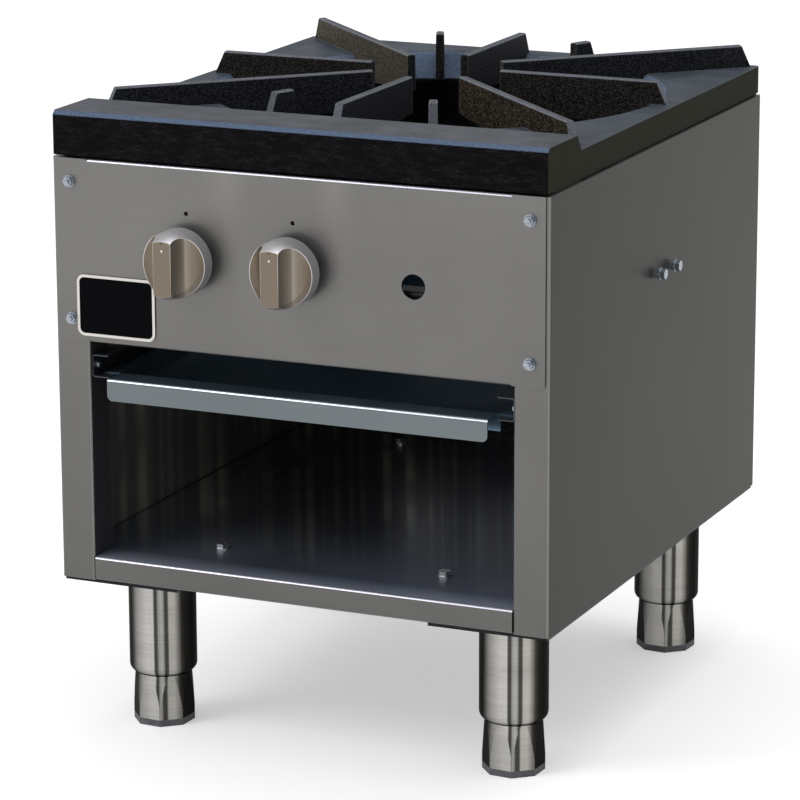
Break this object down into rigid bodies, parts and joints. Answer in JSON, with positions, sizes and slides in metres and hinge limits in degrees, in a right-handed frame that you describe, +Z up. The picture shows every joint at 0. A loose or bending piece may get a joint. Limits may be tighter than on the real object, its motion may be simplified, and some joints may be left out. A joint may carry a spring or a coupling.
{
  "type": "stock pot range",
  "caption": "Low free-standing gas stock pot range: square steel cabinet on round legs, open storage, drip tray, control knobs and a raised cast-iron top grate over a ring burner.",
  "frame": {"origin": "centre of the footprint, on the floor", "axes": "+Z up, the control panel faces -Y, the gas inlet leaves at +Y"},
  "size_m": [0.4768, 0.616, 0.565],
  "materials": {
    "stainless_sheet": "satin stainless sheet",
    "galvanised_sheet": "galvanised sheet",
    "tray_sheet": "smooth galvanised sheet",
    "plate_enamel": "black with a bare metal edge",
    "grate_iron": "rough black casting",
    "burner_iron": "sand cast",
    "valve_brass": "machined",
    "knob_satin": "satin plated",
    "pipe_black": "black pipe",
    "pilot_metal": "drawn tube",
    "leg_steel": "brushed stainless",
    "foot_rubber": "matt",
    "zinc_hardware": "bright zinc plated"
  },
  "bodies": {
    "cabinet": {"side_panel_left": "stainless_sheet", "side_panel_right": "stainless_sheet", "back_panel": "galvanised_sheet", "floor_panel": "stainless_sheet", "control_panel": "stainless_sheet", "name_plate": "plate_enamel", "front_cross_rail": "galvanised_sheet", "rear_cross_rail": "galvanised_sheet", "base_rail_left": "galvanised_sheet", "base_rail_right": "galvanised_sheet", "tray_runner_left": "galvanised_sheet", "tray_runner_right": "galvanised_sheet", "burner_support": "galvanised_sheet", "outer_burner": "burner_iron", "inner_burner": "burner_iron", "outer_mixing_tube": "burner_iron", "inner_mixing_tube": "burner_iron", "shutter_screws": "zinc_hardware", "outer_orifice_hood": "valve_brass", "inner_orifice_hood": "valve_brass", "outer_gas_valve": "valve_brass", "inner_gas_valve": "valve_brass", "manifold_pipe": "pipe_black", "manifold_brackets": "galvanised_sheet", "pipe_elbow": "pipe_black", "supply_pipe": "pipe_black", "inlet_nipple": "pipe_black", "outer_pilot_valve": "valve_brass", "inner_pilot_valve": "valve_brass", "outer_pilot_tube": "pilot_metal", "inner_pilot_tube": "pilot_metal", "outer_pilot_tip": "pilot_metal", "inner_pilot_tip": "pilot_metal", "leg_front_left": "leg_steel", "leg_front_right": "leg_steel", "leg_rear_left": "leg_steel", "leg_rear_right": "leg_steel", "leg_nuts": "zinc_hardware", "floor_bolts": "zinc_hardware", "side_bolts": "zinc_hardware", "panel_screws": "zinc_hardware", "runner_screws": "zinc_hardware", "back_screws": "zinc_hardware"},
    "drip_tray": {"drip_tray": "tray_sheet"},
    "outer_air_shutter": {"outer_air_shutter": "zinc_hardware"},
    "inner_air_shutter": {"inner_air_shutter": "zinc_hardware"},
    "outer_knob": {"outer_valve_stem": "zinc_hardware", "outer_knob": "knob_satin"},
    "inner_knob": {"inner_valve_stem": "zinc_hardware", "inner_knob": "knob_satin"},
    "top_grate": {"top_grate": "grate_iron"},
    "foot_front_left": {"foot_front_left": "leg_steel", "pad_front_left": "foot_rubber"},
    "foot_front_right": {"foot_front_right": "leg_steel", "pad_front_right": "foot_rubber"},
    "foot_rear_left": {"foot_rear_left": "leg_steel", "pad_rear_left": "foot_rubber"},
    "foot_rear_right": {"foot_rear_right": "leg_steel", "pad_rear_right": "foot_rubber"}
  },
  "joints": [
    {"name": "outer_knob_turn", "type": "hinge", "parent": "cabinet", "child": "outer_knob", "pos_m": [-0.1008, -0.262, 0.4395], "axis": [0, -1, 0], "range_deg": [0, 90]},
    {"name": "outer_shutter_turn", "type": "hinge", "parent": "cabinet", "child": "outer_air_shutter", "pos_m": [-0.1008, -0.187, 0.4395], "axis": [0, -1, 0], "range_deg": [0, 45]},
    {"name": "inner_knob_turn", "type": "hinge", "parent": "cabinet", "child": "inner_knob", "pos_m": [-0.0016, -0.262, 0.4395], "axis": [0, -1, 0], "range_deg": [0, 90]},
    {"name": "inner_shutter_turn", "type": "hinge", "parent": "cabinet", "child": "inner_air_shutter", "pos_m": [-0.0016, -0.187, 0.4395], "axis": [0, -1, 0], "range_deg": [0, 45]},
    {"name": "tray_slide", "type": "slide", "parent": "cabinet", "child": "drip_tray", "axis": [0, -1, 0], "range_m": [0, 0.42]},
    {"name": "grate_lift", "type": "slide", "parent": "cabinet", "child": "top_grate", "axis": [0, 0, 1], "range_m": [0, 0.15]},
    {"name": "foot_front_left_screw", "type": "slide", "parent": "cabinet", "child": "foot_front_left", "axis": [0, 0, -1], "range_m": [0, 0.03]},
    {"name": "foot_front_right_screw", "type": "slide", "parent": "cabinet", "child": "foot_front_right", "axis": [0, 0, -1], "range_m": [0, 0.03]},
    {"name": "foot_rear_left_screw", "type": "slide", "parent": "cabinet", "child": "foot_rear_left", "axis": [0, 0, -1], "range_m": [0, 0.03]},
    {"name": "foot_rear_right_screw", "type": "slide", "parent": "cabinet", "child": "foot_rear_right", "axis": [0, 0, -1], "range_m": [0, 0.03]}
  ]
}
